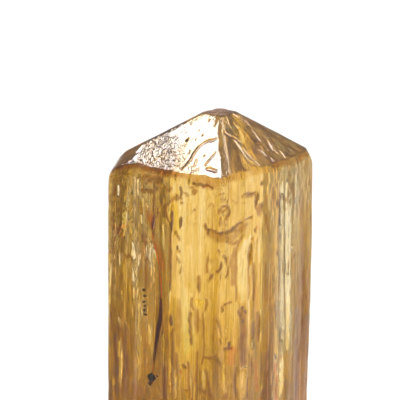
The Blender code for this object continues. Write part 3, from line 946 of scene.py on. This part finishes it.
def pebble(name, seed, x, z, depth, size, material, bumps=0.35):
    """A closed lumpy grain of a given width, thickness and height."""
    rings, turns = 10, 14
    dice = np.random.default_rng(seed)
    lobes = dice.normal(size=(5, 3))
    centre = under_skin(x, z, depth)
    where = [centre + [0, 0, size[2] / 2]]
    for k in range(1, rings):
        polar = math.pi * k / rings
        for j in range(turns):
            turn = 2 * math.pi * j / turns
            level = math.sin(polar)
            way = np.array([level * math.cos(turn), level * math.sin(turn), math.cos(polar)])
            swell = 1 + bumps * (np.cos(lobes @ way * 2.2).mean() - 0.3)
            where.append(centre + way * swell * np.array(size) / 2)
    where.append(centre - [0, 0, size[2] / 2])
    corners = [(0, 1 + j, 1 + (j + 1) % turns) for j in range(turns)]
    corners += [(a, d, c, b) for a, b, c, d in walls(rings - 1, turns, 1)]
    last = len(where) - 1
    corners += [(last, last - turns + (j + 1) % turns, last - turns + j) for j in range(turns)]
    return inner_object(name, where, corners, material)


orange_iron = iron("orange_iron_stain", (0.90, 0.24, 0.015, 1.0))
brown_iron = iron("brown_iron_stain", (0.16, 0.03, 0.005, 1.0))
black_mineral = iron("black_mineral", (0.012, 0.012, 0.014, 1.0), 0.35)
dark_droplet = iron("dark_droplet", (0.03, 0.014, 0.006, 1.0), 0.4)

# the healed crack's parts from the top down, and the droplets: places on the front skin, and width there
BLADE_TOP = (
    (-3.62, 21.50, 0.04), (-3.44, 20.60, 0.07), (-3.19, 19.50, 0.07), (-3.07, 18.30, 0.09),
    (-3.05, 17.5, 0.10),
)
BLADE_FOOT = (
    (-3.05, 17.95, 0.08), (-3.06, 17.1, 0.24), (-3.12, 16.2, 0.36), (-3.26, 15.4, 0.34),
    (-3.38, 14.6, 0.25), (-3.43, 13.8, 0.20), (-3.46, 13.2, 0.08),
)
BLADE_TAIL = ((-3.45, 13.5, 0.06), (-3.50, 13.0, 0.06), (-3.53, 12.55, 0.04))
DROPLETS = (
    (-4.10, 17.86, 0.27), (-4.05, 17.49, 0.17), (-4.08, 17.12, 0.25),
    (-4.02, 16.86, 0.22), (-4.05, 16.60, 0.17), (-4.01, 16.33, 0.24),
)

ribbon("blade_top", BLADE_TOP, 0.30, 0.03, orange_iron)
ribbon("blade_foot", BLADE_FOOT, 0.32, 0.05, brown_iron)
ribbon("blade_tail", BLADE_TAIL, 0.30, 0.02, orange_iron)
pebble("black_grain", 81, -3.60, 12.36, 0.30, (0.60, 0.28, 0.54), black_mineral, 0.8)
pebble("black_grain_foot", 82, -3.66, 11.95, 0.28, (0.36, 0.20, 0.52), brown_iron, 0.8)
pebble("black_crumb", 83, -3.24, 12.52, 0.30, (0.22, 0.12, 0.22), black_mineral, 0.7)
for order, (x, z, size) in enumerate(DROPLETS):
    shape = (size, size * 0.7, size * 0.9)
    pebble("droplet_%d" % order, 90 + order, x, z, 0.25, shape, dark_droplet, 0.6)

# ------------------------------------------------------------
# Floor, light and camera. The crystal stands on a plain white table in a pale studio. Two boxes light only
# the table, behind it and before it, and three small ones high above it are only seen mirrored in its point.

TABLE_WIDTH, TABLE_DEPTH, TABLE_TOP = 1800.0, 1400.0, -0.02

table_corners = [
    (TABLE_WIDTH / 2 * x, TABLE_DEPTH / 2 * y, TABLE_TOP) for x, y in ((-1, -1), (1, -1), (1, 1), (-1, 1))
]
floor = body_object("floor", table_corners, [(0, 1, 2, 3)])
white = Finish("white_floor")
white.set(Base_Color=(0.9, 0.9, 0.9, 1.0), Roughness=0.9)
floor.data.materials.append(white.material)


def softbox(name, place, towards, size, radiance):
    """A soft lamp that is only seen mirrored, and lights no table."""
    lamp = bpy.data.lights.new(name, "AREA")
    lamp.shape = "RECTANGLE"
    lamp.size, lamp.size_y = size
    lamp.energy = radiance * math.pi * size[0] * size[1]
    made = placed(name, lamp)
    made.location = place
    made.rotation_euler = (Vector(place) - Vector(towards)).to_track_quat("Z", "Y").to_euler()
    made.visible_diffuse = False
    made.visible_camera = False
    return made


def table_light(name, x, y, size, radiance, spread, turn):
    """A soft lamp straight above the table that only lights it, turned about the upright."""
    made = softbox(name, (x, y, 0.12), (x, y, 0.0), size, radiance)
    made.visible_diffuse = True
    made.visible_glossy = False
    made.visible_transmission = False
    made.data.spread = math.radians(spread)
    made.rotation_euler.z = math.radians(turn)


softbox("shoulder_box", (-0.203, 0.117, 0.340), (0, 0, 0.020), (0.15, 0.15), 14.5)
softbox("sheen_box", (0.160, 0.040, 0.364), (0, 0, 0.026), (0.12, 0.12), 10.0)
softbox("top_box", (0.014, 0.095, 0.412), (0, 0, 0.026), (0.12, 0.12), 6.0)
table_light("table_box", 0.038, 0.175, (0.7, 0.36), 0.86, 20, -12)
table_light("foot_box", 0.004, -0.034, (0.050, 0.100), 1.15, 34, -180)

# the studio is darker before the crystal than behind it
world = bpy.data.worlds.new("studio")
bpy.context.scene.world = world
world.use_nodes = True
studio = Nodes(world.node_tree)
split = studio.node("SeparateXYZ", values={0: studio.node("TexCoord")}, out=1)
glow = studio.node(
    "MapRange",
    {"interpolation_type": "SMOOTHSTEP"},
    {"Value": split, "From Min": -0.6, "From Max": 0.6, "To Min": 0.26, "To Max": 0.62},
)
studio.feed(world.node_tree.nodes["Background"].inputs["Strength"], glow)
studio.feed(world.node_tree.nodes["Background"].inputs["Color"], (1.0, 1.0, 1.0, 1.0))

lens = bpy.data.cameras.new("camera")
lens.sensor_width = FILM
lens.lens = LENS
lens.clip_start = 0.005
camera = placed("camera", lens)
camera.matrix_world = Matrix((right, up, back)).transposed().to_4x4()
camera.location = aim + back * (VIEW_SIGHT * MM)
bpy.context.scene.camera = camera
bpy.context.scene.view_settings.view_transform = "Standard"
